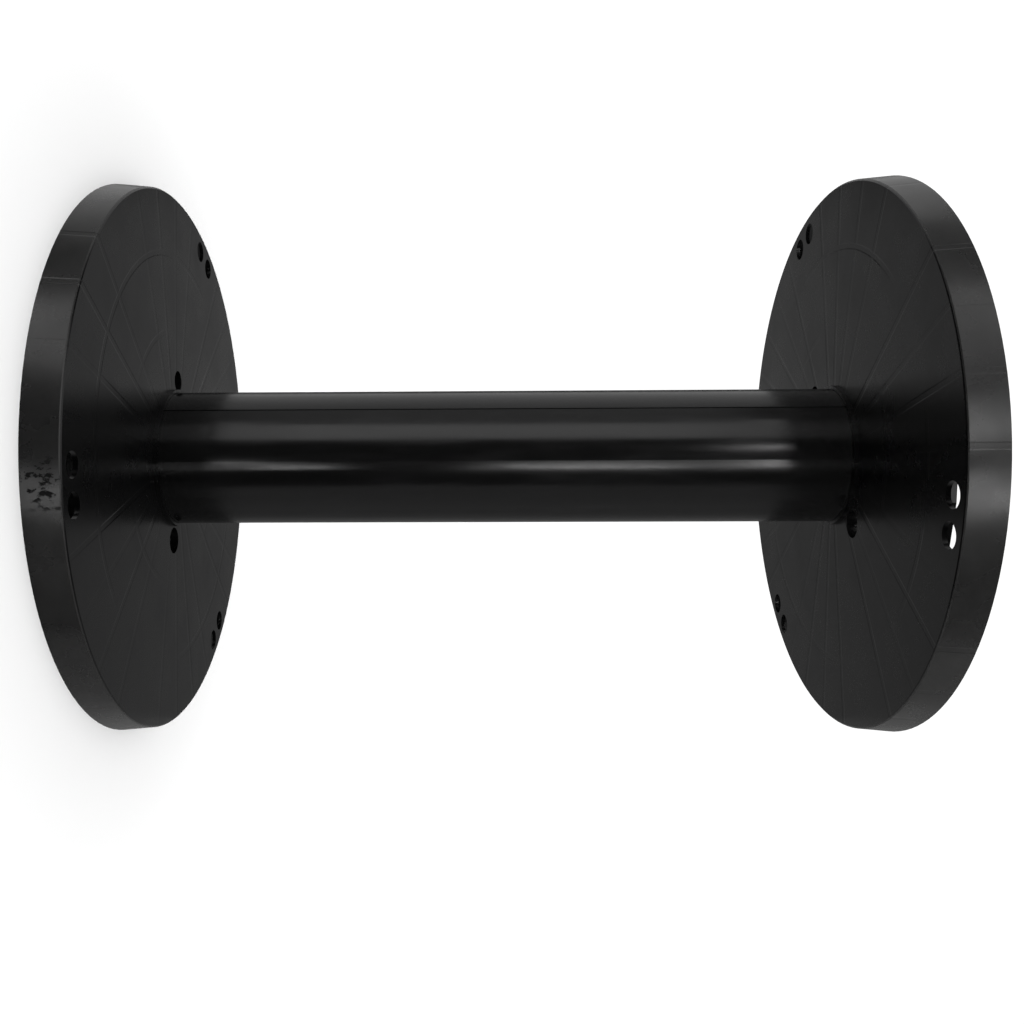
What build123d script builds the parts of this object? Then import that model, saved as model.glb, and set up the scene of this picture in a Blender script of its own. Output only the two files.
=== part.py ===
"""Black plastic cable reel: two moulded flanges, a slit barrel tube between them, and three tie rods.

The reel stands on the open edge of its lower flange, because it would roll on its rims. Z runs up the axle
line and -Y is the front. The origin is on the axle line, halfway between the flanges. Sizes are in millimetres
and angles in degrees.

Each flange is drawn in its own frame first: its axis is Z, z = 0 is the plane of the winding face, +z points
to the middle of the reel and -z to the open, ribbed outside.
"""

from build123d import *
import math
import os

# Overall sizes of the reel
winding_width = 500.0
flange_diameter = 400.0
barrel_diameter = 100.0

# Flange shell: a flat web with a deep rim that flares a little
web_thickness = 3.0
rim_depth = 23.0
rim_wall = 3.2
rim_flare = 2.0
rim_corner_chamfer = 1.2

# Barrel tube, rolled to a ring and left open along one line
barrel_wall = 3.5
slit_width = 0.9
slit_angle = 47.3

# Hub of the flange: a socket for the barrel's end, sunk below the web, with a low collar on the winding face
socket_clearance = 0.2
socket_depth = 8.0
socket_floor = 3.0
hub_wall = 2.2
hub_wall_depth = 18.0
collar_height = 3.5

# Arbor tube in the middle of the socket's floor
arbor_diameter = 40.0
arbor_wall = 3.5
arbor_recess = 1.0

# Ribs on the open side of the flange
rib_pitch = 12.0
rib_thickness = 2.2
rib_depth = 18.0
ring_rib_thickness = 2.0
inner_ring_rib_depth = 9.0
outer_ring_rib_depth = 18.0
hub_rib_count = 6
hub_rib_height = 6.0
# Places of the ring ribs as shares of the flange's radius
inner_ring_rib_place = 0.48
outer_ring_rib_place = 0.77

# Holes near the rim, in pairs, for tying off the cable's end or for drive pins
pair_count = 3
pair_edge_to_rim = 3.1
pair_half_angle = 3.65
rim_hole_diameter = 16.4

# Start holes for the cable's inner end: a large one clear of the collar, and a small one opposite that cuts
# halfway into the collar's thickness
large_start_hole_diameter = 19.8
large_start_hole_to_collar = 1.0
small_start_hole_diameter = 16.4
small_start_hole_into_collar = 1.1
start_hole_angle = 79.1
start_boss_wall = 2.2
start_boss_depth = 12.0

# Tie rods through the barrel; each end stands out of the hub by the height of a washer, a nut and 2 mm
rod_count = 3
rod_diameter = 8.0
rod_hole_clearance = 0.3
rod_end = 10.1

# Turn of each flange about the axle line, from the -Y side towards -X, as it was put together
lower_flange_turn = -1.3
upper_flange_turn = -127.2

# Radii and heights that follow from the sizes above
flange_radius = flange_diameter / 2
open_edge_radius = flange_radius + rim_flare
barrel_radius = barrel_diameter / 2
socket_radius = barrel_radius + socket_clearance
hub_radius = socket_radius + hub_wall
hub_floor_depth = socket_depth + socket_floor
arbor_radius = arbor_diameter / 2
arbor_tube_radius = arbor_radius + arbor_wall
large_start_hole_radius = large_start_hole_diameter / 2
small_start_hole_radius = small_start_hole_diameter / 2
large_start_hole_place = hub_radius + large_start_hole_to_collar + large_start_hole_radius
small_start_hole_place = hub_radius - small_start_hole_into_collar + small_start_hole_radius
# Each start hole as its angle, its distance from the axle line and its own radius
start_holes = [
    (start_hole_angle, large_start_hole_place, large_start_hole_radius),
    (start_hole_angle + 180, small_start_hole_place, small_start_hole_radius),
]
pair_circle_radius = flange_radius - rim_wall - pair_edge_to_rim - rim_hole_diameter / 2
rod_circle_radius = (arbor_tube_radius + socket_radius) / 2
# Both flanges are the same moulding, so their rod holes stand where the two turns bring them into line
flange_rod_angle = (lower_flange_turn - upper_flange_turn) / 2
first_rod_angle = lower_flange_turn - flange_rod_angle
web_middle = -web_thickness / 2
half_width = winding_width / 2
through = 4 * rim_depth


def around(piece, angles):
    """Copies of a piece turned about Z to each angle."""
    return [Rot(0, 0, angle) * piece for angle in angles]


def flange_shell():
    """The turned form of the flange: arbor tube, sunk hub, web and rim."""
    outline = [
        (arbor_radius, -socket_depth),
        (socket_radius, -socket_depth),
        (socket_radius, collar_height),
        (hub_radius, collar_height),
        (hub_radius, 0),
        (flange_radius, 0),
        (open_edge_radius, -rim_depth),
        (open_edge_radius - rim_wall, -rim_depth),
        (flange_radius - rim_wall, -web_thickness),
        (hub_radius, -web_thickness),
        (hub_radius, -hub_wall_depth),
        (socket_radius, -hub_wall_depth),
        (socket_radius, -hub_floor_depth),
        (arbor_tube_radius, -hub_floor_depth),
        (arbor_tube_radius, -rim_depth + arbor_recess),
        (arbor_radius, -rim_depth + arbor_recess),
    ]
    profile = make_face(Polyline([(r, 0, z) for r, z in outline], close=True))
    rim_corner = profile.vertices().sort_by_distance((flange_radius, 0, 0))[0]
    profile = chamfer(rim_corner, rim_corner_chamfer)
    return revolve(profile, Axis.Z, 360)


def radial_rib():
    """One straight rib from the hub wall to the rim, with its top edge inside the web."""
    hub_end = hub_radius - hub_wall / 2
    rim_end = flange_radius - rim_wall / 2
    side = make_face(
        Polyline(
            [
                (hub_end, 0, web_middle),
                (rim_end, 0, web_middle),
                (rim_end, 0, -rib_depth),
                (hub_end, 0, -rib_depth),
            ],
            close=True,
        )
    )
    return extrude(side, rib_thickness / 2, both=True)


def ring_rib(place, depth):
    """A rib round the flange, straight between neighbouring radial ribs, with its top inside the web."""
    radius = place * flange_radius
    sides = round(360 / rib_pitch)
    outline = RegularPolygon(radius + ring_rib_thickness / 2, sides)
    outline -= RegularPolygon(radius - ring_rib_thickness / 2, sides)
    return Pos(0, 0, web_middle) * extrude(outline, -(depth + web_middle))


def hub_rib():
    """One low rib on the outside of the hub's floor, from the arbor tube to the hub wall."""
    inner = arbor_tube_radius - arbor_wall / 2
    outer = socket_radius + hub_wall / 2
    top = -socket_depth - socket_floor / 2
    height = hub_rib_height + socket_floor / 2
    return Pos((inner + outer) / 2, 0, top - height / 2) * Box(outer - inner, rib_thickness, height)


def rib_angles():
    """Ribs stand at every pitch, except on the lines of the hole pairs and midway between them."""
    gap = 360 / pair_count / 2
    steps = [rib_pitch * i for i in range(round(360 / rib_pitch))]
    return [a for a in steps if abs((a + gap / 2) % gap - gap / 2) > rib_pitch / 2]


def start_boss(angle, distance, radius):
    """A solid stub for the wall round one start hole, on the open side, kept out of the barrel's socket."""
    top = (Align.CENTER, Align.CENTER, Align.MAX)
    stub = Cylinder(radius + start_boss_wall, start_boss_depth, align=top)
    stub = Rot(0, 0, angle) * Pos(distance, 0, 0) * stub
    return stub - Cylinder(hub_radius - hub_wall / 2, through)


def start_hole(angle, distance, radius):
    return Rot(0, 0, angle) * Pos(distance, 0, 0) * Cylinder(radius, through)


def rod_angles(first_angle):
    return [first_angle + 360 * i / rod_count for i in range(rod_count)]


def pair_angles():
    middles = [360 * i / pair_count for i in range(pair_count)]
    return [m + side for m in middles for side in (-pair_half_angle, pair_half_angle)]


def flange():
    """A whole flange: shell, ribs and bosses joined, then every hole cut through."""
    added = around(radial_rib(), rib_angles())
    added.append(ring_rib(inner_ring_rib_place, inner_ring_rib_depth))
    added.append(ring_rib(outer_ring_rib_place, outer_ring_rib_depth))
    added += [start_boss(*hole) for hole in start_holes]
    rods = rod_angles(flange_rod_angle)
    added += around(hub_rib(), [rods[0] + 360 * (i + 0.5) / hub_rib_count for i in range(hub_rib_count)])
    body = flange_shell().fuse(*added)
    rim_hole = Pos(pair_circle_radius, 0, 0) * Cylinder(rim_hole_diameter / 2, through)
    rod_hole = Pos(rod_circle_radius, 0, 0) * Cylinder(rod_diameter / 2 + rod_hole_clearance, through)
    holes = around(rim_hole, pair_angles())
    holes += [start_hole(*hole) for hole in start_holes]
    holes += around(rod_hole, rods)
    return body.cut(*holes)


def barrel():
    """The tube between the flanges, seated on both hub floors and slit along its whole length."""
    length = winding_width + 2 * socket_depth
    tube = Cylinder(barrel_radius, length) - Cylinder(barrel_radius - barrel_wall, length)
    slit = Pos(barrel_radius, 0, 0) * Box(4 * barrel_wall, slit_width, length)
    return tube - Rot(0, 0, slit_angle) * slit


def tie_rod():
    """A plain rod that reaches past the hub's floor at both ends, far enough for a washer and a nut."""
    return Cylinder(rod_diameter / 2, winding_width + 2 * (hub_floor_depth + rod_end))


def at_end(piece, side, turn):
    """Places a piece drawn in a flange's frame at the lower (-1) or upper (+1) end of the reel.

    The frame's z axis points to the middle, and its x axis points to -Y before the turn, which runs towards -X.
    """
    start = Plane(origin=(0, 0, side * half_width), x_dir=(0, -1, 0), z_dir=(0, 0, -side))
    return start.location * (Rot(0, 0, side * turn) * piece)


def on_axle_line(piece, angle):
    """Turns a piece that is centred on Z, its x axis from -Y towards -X by an angle."""
    start = Plane(origin=(0, 0, 0), x_dir=(0, -1, 0), z_dir=(0, 0, -1))
    return start.location * (Rot(0, 0, angle) * piece)


def save(piece, name):
    export_step(piece, f"parts/{name}.step")


def main():
    os.makedirs("parts", exist_ok=True)
    moulding = flange()
    save(at_end(moulding, -1, lower_flange_turn), "flange_lower")
    save(at_end(moulding, 1, upper_flange_turn), "flange_upper")
    save(on_axle_line(barrel(), 0), "barrel")
    for number, angle in enumerate(rod_angles(first_rod_angle), 1):
        save(on_axle_line(Pos(rod_circle_radius, 0, 0) * tie_rod(), angle), f"tie_rod_{number}")


main()
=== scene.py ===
import math
import bmesh
import bpy
from mathutils import Matrix, Vector


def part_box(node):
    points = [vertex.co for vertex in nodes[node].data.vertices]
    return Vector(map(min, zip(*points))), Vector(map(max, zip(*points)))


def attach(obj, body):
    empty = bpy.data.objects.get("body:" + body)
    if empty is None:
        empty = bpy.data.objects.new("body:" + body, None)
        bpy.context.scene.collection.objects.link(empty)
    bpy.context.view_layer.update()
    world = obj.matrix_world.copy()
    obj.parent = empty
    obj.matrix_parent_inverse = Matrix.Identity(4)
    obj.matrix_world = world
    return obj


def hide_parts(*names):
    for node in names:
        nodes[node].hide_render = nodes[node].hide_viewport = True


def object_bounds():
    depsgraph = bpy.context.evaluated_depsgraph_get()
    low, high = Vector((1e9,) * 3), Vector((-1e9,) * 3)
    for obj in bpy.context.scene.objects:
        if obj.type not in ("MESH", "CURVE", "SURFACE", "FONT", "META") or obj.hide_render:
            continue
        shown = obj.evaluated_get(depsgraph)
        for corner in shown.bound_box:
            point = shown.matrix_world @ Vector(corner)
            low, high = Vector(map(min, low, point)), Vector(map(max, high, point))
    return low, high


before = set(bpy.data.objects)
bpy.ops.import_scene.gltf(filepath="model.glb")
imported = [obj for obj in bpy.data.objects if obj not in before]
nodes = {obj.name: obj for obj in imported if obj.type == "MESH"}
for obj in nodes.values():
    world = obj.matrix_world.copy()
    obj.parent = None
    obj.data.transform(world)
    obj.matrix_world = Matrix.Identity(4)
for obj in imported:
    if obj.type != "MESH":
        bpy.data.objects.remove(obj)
cad_low, cad_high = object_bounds()

# Lower flange
# One injection moulding in black plastic: a thin flat web with a deep rim, ribs outside, a socket for the
# barrel. The reel stands on this one's open edge, as it would roll on its rims. The winding face has a satin
# grain and sinks a little along each rib behind it. The rim is rubbed grey, cloudy, and scored in one place.
# Its grey is partly that wear and partly painted sheen: a lighter colour standing in for light the rim catches.

centre_to_face = 0.250
flange_radius = 0.200
rib_pitch = 12.0
rib_gap = 60.0
ring_rib_radii = (0.096, 0.154)
lower_turn = -1.3
sink_depth = 0.00019
sink_half_width = 0.0019
sink_wall = 0.0011
face_margin = 0.0004
rim_margin = 0.0006
fine_grain_height = 0.000006
flow_height = 0.00018
rim_wave_height = 0.0060
moulded_black = (0.0016, 0.0016, 0.0017, 1.0)
# The rim's grey: rubbed wear, made lighter as painted sheen in place of the light the rim catches
rubbed_grey_and_sheen = (0.0270, 0.0267, 0.0264, 1.0)
moulded_shine = 0.45
score_core = 2.5
score_reach = 6.5
scored_roughness = 0.9


def make_material(name):
    """An empty node material; gives the material and its node tree."""
    material = bpy.data.materials.new(name)
    material.use_nodes = True
    material.node_tree.nodes.clear()
    return material, material.node_tree


def wire(tree, value, socket):
    """Links a socket into a node's input, or sets the input when the value is a plain number."""
    if isinstance(value, bpy.types.NodeSocket):
        tree.links.new(value, socket)
    else:
        socket.default_value = value


def reckon(tree, operation, first, second=0.0, third=0.0):
    """One math node; gives its output."""
    node = tree.nodes.new("ShaderNodeMath")
    node.operation = operation
    for value, socket in zip((first, second, third), node.inputs):
        wire(tree, value, socket)
    return node.outputs[0]


def times(tree, first, second):
    """Two values multiplied."""
    return reckon(tree, "MULTIPLY", first, second)


def plus(tree, first, second):
    """Two values added."""
    return reckon(tree, "ADD", first, second)


def grain(tree, vector, scale, detail=3.0, roughness=0.5, stretch=(1.0, 1.0, 1.0), shift=(0.0, 0.0, 0.0)):
    """Noise in the piece's own frame, stretched along the axes; gives the value's output."""
    mapping = tree.nodes.new("ShaderNodeMapping")
    mapping.inputs["Scale"].default_value = stretch
    mapping.inputs["Location"].default_value = shift
    tree.links.new(vector, mapping.inputs["Vector"])
    noise = tree.nodes.new("ShaderNodeTexNoise")
    noise.inputs["Scale"].default_value = scale
    noise.inputs["Detail"].default_value = detail
    noise.inputs["Roughness"].default_value = roughness
    tree.links.new(mapping.outputs["Vector"], noise.inputs["Vector"])
    return noise.outputs["Fac"]


def spread(tree, value, from_low, from_high, to_low, to_high, curve="LINEAR"):
    """A clamped change of range, straight or smoothed."""
    node = tree.nodes.new("ShaderNodeMapRange")
    node.clamp = True
    node.interpolation_type = curve
    for number, socket in zip((from_low, from_high, to_low, to_high), node.inputs[1:5]):
        socket.default_value = number
    tree.links.new(value, node.inputs["Value"])
    return node.outputs["Result"]


def groove(tree, distance):
    """A shallow flat-bottomed groove with steep walls: 1 inside it and 0 beyond them."""
    inside, beyond = sink_half_width - sink_wall / 2, sink_half_width + sink_wall / 2
    return spread(tree, distance, inside, beyond, 1.0, 0.0, "SMOOTHSTEP")


def colour(tree, shader, dark, light, share):
    """Mixes two shades by a share into the shader's colour."""
    tint = tree.nodes.new("ShaderNodeMix")
    tint.data_type = "RGBA"
    tint.inputs["A"].default_value = dark
    tint.inputs["B"].default_value = light
    tree.links.new(share, tint.inputs["Factor"])
    tree.links.new(tint.outputs["Result"], shader.inputs["Base Color"])


def emboss(tree, shader, height):
    """Bends the shader's normal by a fine relief, given as a height in metres."""
    bump = tree.nodes.new("ShaderNodeBump")
    bump.inputs["Strength"].default_value = 1.0
    bump.inputs["Distance"].default_value = 1.0
    tree.links.new(height, bump.inputs["Height"])
    tree.links.new(bump.outputs["Normal"], shader.inputs["Normal"])


def join_to_output(tree, shader):
    """Joins the shader to the material's output."""
    output = tree.nodes.new("ShaderNodeOutputMaterial")
    tree.links.new(shader.outputs[0], output.inputs["Surface"])


def flange_plastic(name, side, turn, pattern, scored):
    """Satin black plastic with sink marks on the lines of this flange's ribs and rings."""
    material, tree = make_material(name)
    place = tree.nodes.new("ShaderNodeTexCoord").outputs["Object"]
    split = tree.nodes.new("ShaderNodeSeparateXYZ")
    tree.links.new(place, split.inputs[0])
    x, y, z = split.outputs
    radius = reckon(tree, "SQRT", plus(tree, times(tree, x, x), times(tree, y, y)))
    round_from_front = reckon(tree, "ARCTAN2", times(tree, x, -1.0), times(tree, y, -1.0))
    front_angle = times(tree, round_from_front, math.degrees(1))
    angle = reckon(tree, "SUBTRACT", front_angle, turn)

    # The straight ribs, but not at the hole pairs and midway between them
    off_rib = reckon(tree, "PINGPONG", angle, rib_pitch / 2)
    off_gap = reckon(tree, "PINGPONG", angle, rib_gap / 2)
    across_rib = times(tree, times(tree, off_rib, math.radians(1)), radius)
    has_rib = reckon(tree, "GREATER_THAN", off_gap, rib_pitch / 2)
    rib_number = reckon(tree, "ROUND", reckon(tree, "DIVIDE", angle, rib_pitch))
    luck = tree.nodes.new("ShaderNodeTexWhiteNoise")
    luck.noise_dimensions = "1D"
    tree.links.new(plus(tree, rib_number, pattern), luck.inputs["W"])
    strength = spread(tree, luck.outputs["Value"], 0.0, 1.0, 0.25, 1.0)
    uneven = spread(tree, grain(tree, place, 9.0, 1.0), 0.35, 0.6, 0.35, 1.0)
    sink = times(tree, times(tree, groove(tree, across_rib), has_rib), times(tree, strength, uneven))

    # The two ring ribs, seen only in patches
    for ring in ring_rib_radii:
        off_ring = reckon(tree, "ABSOLUTE", reckon(tree, "SUBTRACT", radius, ring))
        patches = grain(tree, place, 7.0, 1.0, shift=(ring * 9, 0.0, 0.0))
        patchy = spread(tree, patches, 0.48, 0.62, 0.0, 0.7)
        sink = reckon(tree, "MAXIMUM", sink, times(tree, groove(tree, off_ring), patchy))
    inner = reckon(tree, "LESS_THAN", times(tree, z, side), centre_to_face + face_margin)
    rim = reckon(tree, "GREATER_THAN", radius, flange_radius - rim_margin)
    sink = times(tree, sink, reckon(tree, "MAXIMUM", inner, rim))

    # The grain, the slow waves of the face and the stronger ones of the rim
    fine = grain(tree, place, 900.0, 2.0)
    flow = grain(tree, place, 16.0, 0.6)
    clouds = grain(tree, place, 12.0, 0.6, shift=(pattern, 0.0, 0.0))
    scratches = grain(tree, place, 60.0, 4.0, 0.65, (1.0, 0.08, 1.0))
    height = plus(tree, times(tree, sink, -sink_depth), times(tree, flow, flow_height))
    height = plus(tree, height, times(tree, fine, fine_grain_height))
    height = plus(tree, height, times(tree, times(tree, rim, clouds), rim_wave_height))

    # Rubbed grey on the rim, partly wear and partly painted sheen, a trace of the grey on the face,
    # and one scored place at the front of the rim
    rubbed_and_sheen = times(tree, rim, spread(tree, scratches, 0.25, 0.70, 0.70, 1.0))
    rubbed_and_sheen = times(tree, rubbed_and_sheen, spread(tree, clouds, 0.35, 0.65, 0.60, 1.05))
    rubbed_and_sheen = reckon(tree, "MAXIMUM", rubbed_and_sheen, spread(tree, scratches, 0.55, 0.80, 0.0, 0.02))
    rough = spread(tree, grain(tree, place, 25.0, 5.0, 0.6), 0.3, 0.7, 0.24, 0.33)
    if scored:
        near = spread(tree, reckon(tree, "ABSOLUTE", front_angle), score_core, score_reach, 1.0, 0.0)
        cracks = grain(tree, place, 150.0, 5.0, 0.75, (1.0, 1.0, 0.55))
        score = times(tree, times(tree, near, rim), spread(tree, cracks, 0.53, 0.57, 0.0, 1.0))
        rubbed_and_sheen = times(tree, rubbed_and_sheen, reckon(tree, "SUBTRACT", 1.0, score))
        rough = reckon(tree, "MAXIMUM", rough, times(tree, score, scored_roughness))

    shader = tree.nodes.new("ShaderNodeBsdfPrincipled")
    shader.inputs["Specular IOR Level"].default_value = moulded_shine
    # The rim's grey is partly rubbed wear and partly painted sheen
    colour(tree, shader, moulded_black, rubbed_grey_and_sheen, rubbed_and_sheen)
    tree.links.new(rough, shader.inputs["Roughness"])
    emboss(tree, shader, height)
    join_to_output(tree, shader)
    return material


def dress(node, material):
    """Gives a CAD node its material."""
    piece = nodes[node]
    piece.data.materials.clear()
    piece.data.materials.append(material)


lower_plastic = flange_plastic("Satin black plastic lower", side=-1, turn=lower_turn, pattern=3.0, scored=True)
dress("flange_lower", lower_plastic)

# Upper flange
# The same moulding, turned on the axle line when the reel was put together, so its holes and its sink marks
# stand at other angles. Its rim is rubbed grey with the same painted sheen, but not scored.

upper_turn = -127.2
upper_plastic = flange_plastic("Satin black plastic upper", side=1, turn=upper_turn, pattern=11.0, scored=False)
dress("flange_upper", upper_plastic)

# Barrel
# A tube of smooth black plastic sheet, rolled to a ring and left open along one line. It is glossier than the
# mouldings, a little wavy along its length, and scuffed where cable has rubbed on it.

barrel_wave_height = 0.00030
barrel_dent_height = 0.00002
barrel_rub_height = 0.000004
barrel_black = (0.0045, 0.0045, 0.0046, 1.0)
barrel_scuffed = (0.0090, 0.0090, 0.0092, 1.0)
barrel_shine = 0.5


def barrel_plastic():
    """Smooth black plastic with faint lengthwise waves and rub marks."""
    material, tree = make_material("Glossy black plastic")
    place = tree.nodes.new("ShaderNodeTexCoord").outputs["Object"]
    waves = grain(tree, place, 14.0, 2.0, stretch=(1.0, 1.0, 0.35))
    dents = grain(tree, place, 45.0, 2.0, stretch=(0.6, 0.6, 1.0))
    rubs = grain(tree, place, 120.0, 4.0, 0.6, (1.0, 1.0, 0.15))
    height = plus(tree, times(tree, waves, barrel_wave_height), times(tree, dents, barrel_dent_height))
    height = plus(tree, height, times(tree, rubs, barrel_rub_height))
    shader = tree.nodes.new("ShaderNodeBsdfPrincipled")
    shader.inputs["Specular IOR Level"].default_value = barrel_shine
    colour(tree, shader, barrel_black, barrel_scuffed, spread(tree, rubs, 0.5, 0.8, 0.0, 1.0))
    tree.links.new(spread(tree, rubs, 0.3, 0.75, 0.17, 0.26), shader.inputs["Roughness"])
    emboss(tree, shader, height)
    join_to_output(tree, shader)
    return material


dress("barrel", barrel_plastic())

# Tie rods
# Three zinc-plated M8 steel rods through the barrel, threaded at both ends. They pull the flanges on to the
# barrel's ends. The threads are cut here, so each rod here stands for the plain one of the solids.

rod_radius = 0.004
rod_sides = 36
thread_pitch = 0.00125
thread_depth = 0.00077
thread_length = 0.016
thread_lead_in = 0.0006
thread_run_out = 0.0008
rows_per_turn = 8
flank_slope = 2.6
crest_share = 0.35
zinc_grey = (0.42, 0.43, 0.42, 1.0)
zinc_warm = (0.66, 0.65, 0.60, 1.0)
zinc_mark_height = 0.000012


def zinc_steel(name, stretch):
    """Bright zinc on steel: grey with a faint warm cast, drawn or turned marks, and dull patches."""
    material, tree = make_material(name)
    place = tree.nodes.new("ShaderNodeTexCoord").outputs["Object"]
    marks = grain(tree, place, 500.0, 3.0, 0.6, stretch)
    patches = grain(tree, place, 180.0, 4.0, 0.6)
    shader = tree.nodes.new("ShaderNodeBsdfPrincipled")
    shader.inputs["Metallic"].default_value = 1.0
    colour(tree, shader, zinc_grey, zinc_warm, spread(tree, patches, 0.35, 0.65, 0.0, 1.0))
    tree.links.new(spread(tree, patches, 0.3, 0.7, 0.28, 0.45), shader.inputs["Roughness"])
    emboss(tree, shader, times(tree, marks, zinc_mark_height))
    join_to_output(tree, shader)
    return material


rod_zinc = zinc_steel("Zinc plated rod", (1.0, 1.0, 0.05))


def thread_radius(along, turn):
    """Radius of a right-hand thread at a place along the rod and an angle, with a flat crest and root."""
    phase = (along / thread_pitch - turn) % 1.0
    flank = min(max(abs(phase - 0.5) * flank_slope - crest_share, 0.0), 1.0)
    return rod_radius - thread_depth * flank


def as_mesh(name, shape):
    """Turns a built shape into a mesh whose faces look outwards."""
    bmesh.ops.recalc_face_normals(shape, faces=shape.faces)
    data = bpy.data.meshes.new(name)
    shape.to_mesh(data)
    shape.free()
    return data


def stand(name, data, place):
    """Puts a mesh, or the camera, in the scene at a place; gives the object."""
    piece = bpy.data.objects.new(name, data)
    piece.location = place
    bpy.context.scene.collection.objects.link(piece)
    return piece


def threaded_rod(name, node):
    """A rod along Z at the solid's own place, with a thread of its own at each end."""
    low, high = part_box(node)
    half = (high.z - low.z) / 2
    step = thread_pitch / rows_per_turn
    count = round(thread_length / step)
    thread_start = -half + thread_lead_in
    rows = [(-half, rod_radius - thread_depth, False)]
    rows += [(thread_start + i * step, None, True) for i in range(count)]
    rows += [(thread_start + count * step + thread_run_out, rod_radius, False)]
    rows += [(-at, radius, threaded) for at, radius, threaded in reversed(rows)]
    shape = bmesh.new()
    rings = []
    for at, radius, threaded in rows:
        ring = []
        for k in range(rod_sides):
            turn = k / rod_sides
            r = thread_radius(at, turn) if threaded else radius
            a = 2 * math.pi * turn
            ring.append(shape.verts.new((r * math.cos(a), r * math.sin(a), at)))
        rings.append(ring)
    for one, two in zip(rings, rings[1:]):
        for k in range(rod_sides):
            following = (k + 1) % rod_sides
            shape.faces.new((one[k], two[k], two[following], one[following]))
    shape.faces.new(rings[0])
    shape.faces.new(list(reversed(rings[-1])))
    data = as_mesh(name, shape)
    for face in data.polygons:
        face.use_smooth = len(face.vertices) == 4
    data.materials.append(rod_zinc)
    piece = stand(name, data, (low + high) / 2)
    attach(piece, "root")
    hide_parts(node)


for number in (1, 2, 3):
    threaded_rod(f"threaded_rod_{number}", f"tie_rod_{number}")

# Washers and nuts
# M8 washers and hexagon nuts in zinc-plated steel, one of each at both ends of every rod. They are seated on
# the hub's floor, inside the rim. The washers are punched, and the nuts are chamfered at both faces.

hub_floor = 0.261
washer_radius = 0.008
washer_bore = 0.0042
washer_height = 0.0016
punched_edge = 0.0002
nut_across_flats = 0.013
nut_height = 0.0065
nut_bore = 0.00405
nut_countersink = 0.0005
nut_face_share = 0.95
nut_chamfer = math.pi / 6
nut_turn_step = 0.7
half_a_flat = math.pi / 6
sections_round = 72
sharp_edge = math.radians(25)
turned_zinc = zinc_steel("Zinc plated nuts and washers", (1.0, 1.0, 1.0))


def washer_section(angle):
    """The washer's section at any angle, as radius and height over its seat, with small punched edges."""
    e, h = punched_edge, washer_height
    return [(washer_bore, 0), (washer_radius - e, 0), (washer_radius, e), (washer_radius, h - e),
            (washer_radius - e, h), (washer_bore + e, h), (washer_bore, h - e)]


def nut_section(angle):
    """The nut's section at one angle: the 30 degree chamfer meets the flats in curved edges."""
    to_flat = (angle + half_a_flat) % (2 * half_a_flat) - half_a_flat
    side = nut_across_flats / 2 / math.cos(to_flat)
    face = nut_face_share * nut_across_flats / 2
    drop = (side - face) * math.tan(nut_chamfer)
    c, h = nut_countersink, nut_height
    return [(nut_bore + c, 0), (face, 0), (side, drop), (side, h - drop), (face, h),
            (nut_bore + c, h), (nut_bore, h - c), (nut_bore, c)]


def ring_piece(name, section, seat, side, turn):
    """Sweeps a section round a line along Z from a seat; side says which way the height grows."""
    shape = bmesh.new()
    rings = []
    for k in range(sections_round):
        angle = 2 * math.pi * k / sections_round
        c, s = math.cos(angle + turn), math.sin(angle + turn)
        rings.append([shape.verts.new((r * c, r * s, side * height)) for r, height in section(angle)])
    for k, ring in enumerate(rings):
        following = rings[(k + 1) % sections_round]
        for i in range(len(ring)):
            j = (i + 1) % len(ring)
            shape.faces.new((ring[i], ring[j], following[j], following[i]))
    data = as_mesh(name, shape)
    data.shade_smooth()
    data.set_sharp_from_angle(angle=sharp_edge)
    data.materials.append(turned_zinc)
    piece = stand(name, data, seat)
    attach(piece, "root")


for number in (1, 2, 3):
    low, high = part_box(f"tie_rod_{number}")
    middle = (low + high) / 2
    for side, end in ((-1, "lower"), (1, "upper")):
        seat = Vector((middle.x, middle.y, side * hub_floor))
        ring_piece(f"washer_{end}_{number}", washer_section, seat, side, 0.0)
        seat.z += side * washer_height
        ring_piece(f"nut_{end}_{number}", nut_section, seat, side, nut_turn_step * number + side)

# Floor
# A plain matt white sweep under the reel, which is not part of it. The reel's glossy sides mirror the cards of
# the section on light in its place.

floor_reach = 20.0
floor_white = (0.86, 0.86, 0.86, 1)
floor_roughness = 0.9
floor_mesh = bpy.data.meshes.new("floor")
floor_corners = [(-floor_reach, -floor_reach, 0), (floor_reach, -floor_reach, 0),
                 (floor_reach, floor_reach, 0), (-floor_reach, floor_reach, 0)]
floor_mesh.from_pydata(floor_corners, [], [(0, 1, 2, 3)])
floor = stand("floor", floor_mesh, (0, 0, cad_low.z))
white, tree = make_material("White sweep")
shader = tree.nodes.new("ShaderNodeBsdfPrincipled")
shader.inputs["Base Color"].default_value = floor_white
shader.inputs["Roughness"].default_value = floor_roughness
shader.inputs["Specular IOR Level"].default_value = 0.0
join_to_output(tree, shader)
floor.data.materials.append(white)
floor.visible_glossy = False

# Backdrop
# The white sweep all round the reel, far off and overlit, so it is seen as plain white from every side. It is
# not part of the reel, and only the camera sees it.

backdrop_radius = 18.0
backdrop_radiance = 1.1


def overlit(name, radiance):
    """A plain white glow that is seen or mirrored, but never sampled as a lamp."""
    material, tree = make_material(name)
    glow = tree.nodes.new("ShaderNodeEmission")
    glow.inputs["Color"].default_value = (1, 1, 1, 1)
    glow.inputs["Strength"].default_value = radiance
    join_to_output(tree, glow)
    material.cycles.emission_sampling = "NONE"
    return material


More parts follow.
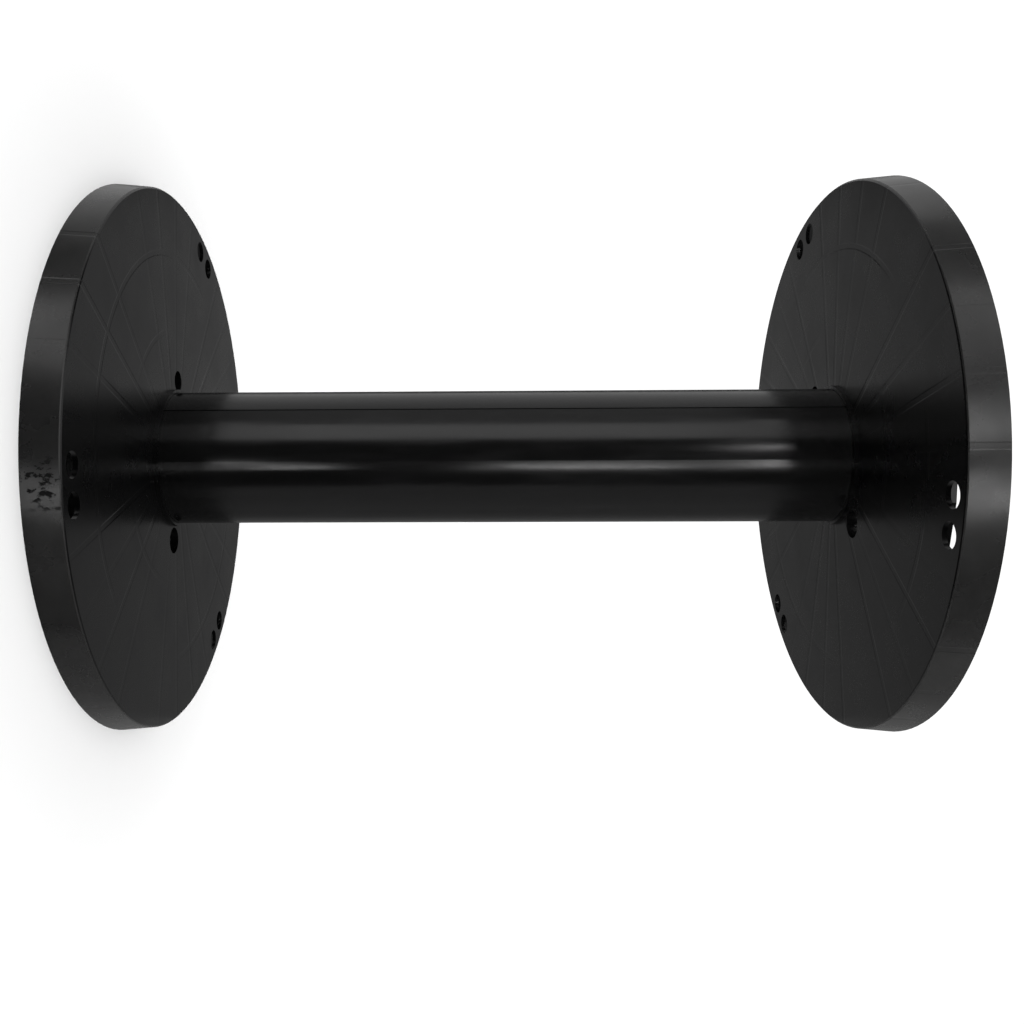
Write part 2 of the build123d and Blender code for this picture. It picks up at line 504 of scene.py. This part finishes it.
dome = bmesh.new()
bmesh.ops.create_uvsphere(dome, u_segments=48, v_segments=24, radius=backdrop_radius)
dome_mesh = bpy.data.meshes.new("backdrop")
dome.to_mesh(dome_mesh)
dome.free()
backdrop = stand("backdrop", dome_mesh, (0, 0, 0))
backdrop.data.materials.append(overlit("Overlit white", backdrop_radiance))
backdrop.visible_glossy = False
backdrop.visible_diffuse = False
backdrop.visible_shadow = False
backdrop.visible_transmission = False

# Light
# Soft studio light. The room is bright overhead and dimmer all round, and lights the floor. Softboxes, cards
# and strips stand round the reel, and only its glossy plastic mirrors them. Two dim upright sheets close
# beside it are mirrored in the other half of the faces and the barrel.

overhead_light = 4.4
overhead_sharpness = 7.0
room_light = 0.42
world = bpy.data.worlds.new("White room")
bpy.context.scene.world = world
world.use_nodes = True
tree = world.node_tree
direction = tree.nodes.new("ShaderNodeTexCoord").outputs["Generated"]
split = tree.nodes.new("ShaderNodeSeparateXYZ")
tree.links.new(direction, split.inputs[0])
upwards = reckon(tree, "MAXIMUM", split.outputs[2], 0.0)
lobe = reckon(tree, "POWER", upwards, overhead_sharpness)
room = tree.nodes["Background"]
room.inputs["Color"].default_value = (1, 1, 1, 1)
tree.links.new(reckon(tree, "MULTIPLY_ADD", lobe, overhead_light, room_light), room.inputs["Strength"])
world.cycles_visibility.glossy = False
world.cycles_visibility.camera = False


def card(name, place, away, length, width, radiance):
    """A rectangular light that only glossy sides mirror; it faces against the away direction."""
    data = bpy.data.lights.new(name, "AREA")
    data.shape = "RECTANGLE"
    data.size, data.size_y = width, length
    data.energy = radiance * math.pi * width * length
    lamp = bpy.data.objects.new(name, data)
    lamp.location = place
    lamp.rotation_euler = away.to_track_quat("Z", "Y").to_euler()
    lamp.visible_camera = False
    lamp.visible_diffuse = False
    bpy.context.scene.collection.objects.link(lamp)


def softbox(name, angle, distance, length, width, radiance, height=0.0):
    """An upright card beside the reel; the angle runs from -Y towards -X."""
    a = math.radians(angle)
    away = Vector((-math.sin(a), -math.cos(a), 0))
    card(name, away * distance + Vector((0, 0, height)), away, length, width, radiance)


# Each by its angle, distance, length along the axle line, width, radiance and height over the reel's middle:
# first the broad ones that shade the faces and the barrel, then the small ones that gleam on the rims
softbox("front_softbox", 47, 1.8, 1.25, 0.90, 1.25)
softbox("lower_front_softbox", 50, 1.8, 0.75, 1.1, 1.7, -1.06)
softbox("upper_front_softbox", 50, 1.8, 0.75, 1.1, 1.2, 1.06)
softbox("between_card", 78, 2.2, 1.6, 1.2, 0.38)
softbox("side_softbox", 125, 2.2, 3.2, 2.2, 0.6)
softbox("back_card", 172, 2.4, 4.0, 0.9, 0.22)
softbox("lower_rim_card", -5, 1.3, 0.20, 0.24, 5.5, -0.60)
softbox("upper_rim_card", 17, 1.3, 0.20, 0.18, 9.0, 0.66)
softbox("second_upper_rim_card", -9, 1.3, 0.20, 0.22, 8.0, 0.68)

# Three short strips in one line make the narrow gleam along the barrel
strip_angle = -14
strip_distance = 1.3
strip_width = 0.05
for height, length, radiance in ((-0.43, 0.18, 13.0), (0.205, 0.33, 17.0), (0.595, 0.15, 13.0)):
    softbox("gleam_strip", strip_angle, strip_distance, length, strip_width, radiance, height)

# A square card over the upper end is mirrored in its nuts and ribs
overhead_place = Vector((-0.5, -0.8, 2.6))
overhead_side = 2.2
overhead_radiance = 0.8
towards_overhead = overhead_place.normalized()
card("overhead_card", overhead_place, towards_overhead, overhead_side, overhead_side, overhead_radiance)

# The two upright sheets, by their near edge, far edge and radiance
sheet_beside = 0.205
sheet_reach = 12.0
sheets = {"front_sheet": (-0.22, 0.0, 0.25), "rear_sheet": (0.0, sheet_reach, 0.17)}
for name, (near, far, radiance) in sheets.items():
    sheet_mesh = bpy.data.meshes.new(name)
    sheet_corners = [(sheet_beside, near, -sheet_reach), (sheet_beside, far, -sheet_reach),
                     (sheet_beside, far, sheet_reach), (sheet_beside, near, sheet_reach)]
    sheet_mesh.from_pydata(sheet_corners, [], [(0, 1, 2, 3)])
    sheet = stand(name, sheet_mesh, (0, 0, 0))
    sheet_mesh.materials.append(overlit(name, radiance))
    sheet.visible_camera = False
    sheet.visible_diffuse = False
    sheet.visible_shadow = False
    sheet.visible_transmission = False

# Camera
# Placed by fitting the flanges' outlines, the barrel's edges and the holes to the photograph, where the reel
# lies on its rims. It is turned with the reel, so it sees the reel from the photograph's side.

photo_side = 1024
focal_pixels = 945.34
middle_pixel = (459.54, 472.86)
film_width = 36.0
camera_place = (-0.043714, -0.721026, -0.015562)
pitch, yaw, roll = 0.0776, 0.02272, -0.00393
camera_data = bpy.data.cameras.new("camera")
camera_data.sensor_width = film_width
camera_data.lens = focal_pixels / photo_side * film_width
camera_data.shift_x = (photo_side / 2 - middle_pixel[0]) / photo_side
camera_data.shift_y = (middle_pixel[1] - photo_side / 2) / photo_side
camera = stand("camera", camera_data, camera_place)
reel_on_its_side = Matrix(((0, 0, 1), (1, 0, 0), (0, 1, 0)))
to_view = (Matrix.Rotation(roll, 3, "Z") @ Matrix.Rotation(yaw, 3, "Y") @ Matrix.Rotation(pitch, 3, "X")
           @ reel_on_its_side)
flip = Matrix(((1, 0, 0), (0, -1, 0), (0, 0, -1)))
camera.rotation_euler = (flip @ to_view).transposed().to_euler()
bpy.context.scene.camera = camera

bpy.context.scene.view_settings.view_transform = "Standard"
bpy.context.scene.view_settings.look = "None"
